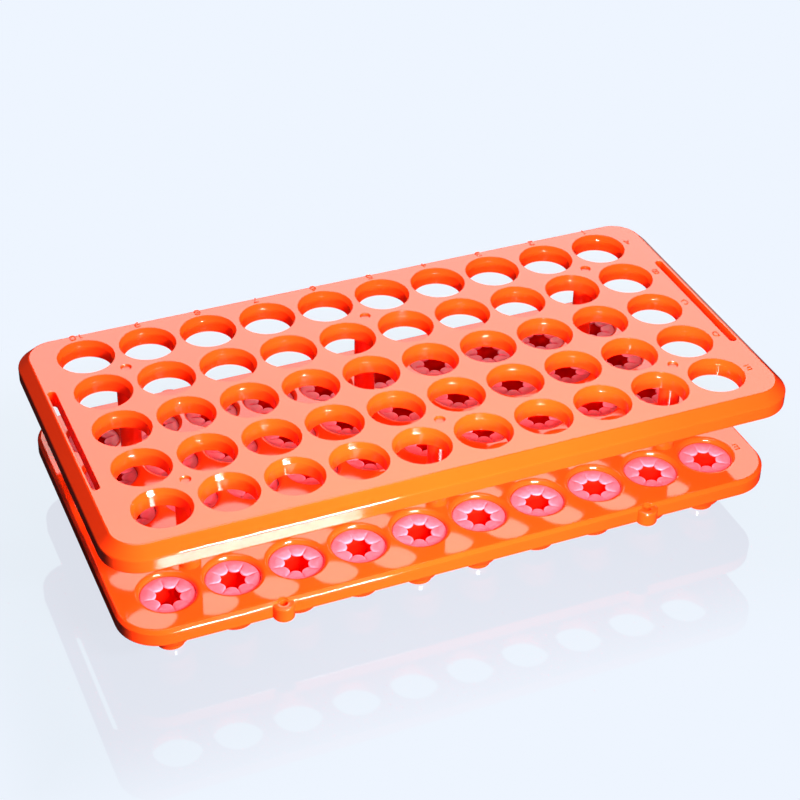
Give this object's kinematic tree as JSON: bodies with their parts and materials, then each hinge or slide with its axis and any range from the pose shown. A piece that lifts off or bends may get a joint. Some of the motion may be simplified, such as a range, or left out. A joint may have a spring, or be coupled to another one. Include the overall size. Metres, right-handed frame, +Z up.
{
  "type": "microcentrifuge tube rack",
  "caption": "Low two-tier rack for microcentrifuge tubes: a bored upper plate on pillars over a plate of cups with star-shaped silicone grips.",
  "frame": {"origin": "on the bench surface, under the centre of the tube grid", "axes": "+X along the rack, +Y across it towards the edge with the column numbers, +Z up; -Y is the edge with the eyelets"},
  "size_m": [0.1592, 0.0844, 0.0369],
  "materials": {
    "orange_plastic": "gloss",
    "pink_silicone": "satin"
  },
  "bodies": {
    "root": {"upper_plate": "orange_plastic", "lower_plate": "orange_plastic", "pillar_1": "orange_plastic", "pillar_2": "orange_plastic", "pillar_3": "orange_plastic", "pillar_4": "orange_plastic", "pillar_5": "orange_plastic", "pillar_6": "orange_plastic", "grip_E10": "pink_silicone", "grip_E9": "pink_silicone", "grip_E8": "pink_silicone", "grip_E7": "pink_silicone", "grip_E6": "pink_silicone", "grip_E5": "pink_silicone", "grip_E4": "pink_silicone", "grip_E3": "pink_silicone", "grip_E2": "pink_silicone", "grip_E1": "pink_silicone", "grip_D10": "pink_silicone", "grip_D9": "pink_silicone", "grip_D8": "pink_silicone", "grip_D7": "pink_silicone", "grip_D6": "pink_silicone", "grip_D5": "pink_silicone", "grip_D4": "pink_silicone", "grip_D3": "pink_silicone", "grip_D2": "pink_silicone", "grip_D1": "pink_silicone", "grip_C10": "pink_silicone", "grip_C9": "pink_silicone", "grip_C8": "pink_silicone", "grip_C7": "pink_silicone", "grip_C6": "pink_silicone", "grip_C5": "pink_silicone", "grip_C4": "pink_silicone", "grip_C3": "pink_silicone", "grip_C2": "pink_silicone", "grip_C1": "pink_silicone", "grip_B10": "pink_silicone", "grip_B9": "pink_silicone", "grip_B8": "pink_silicone", "grip_B7": "pink_silicone", "grip_B6": "pink_silicone", "grip_B5": "pink_silicone", "grip_B4": "pink_silicone", "grip_B3": "pink_silicone", "grip_B2": "pink_silicone", "grip_B1": "pink_silicone", "grip_A10": "pink_silicone", "grip_A9": "pink_silicone", "grip_A8": "pink_silicone", "grip_A7": "pink_silicone", "grip_A6": "pink_silicone", "grip_A5": "pink_silicone", "grip_A4": "pink_silicone", "grip_A3": "pink_silicone", "grip_A2": "pink_silicone", "grip_A1": "pink_silicone"}
  },
  "joints": []
}
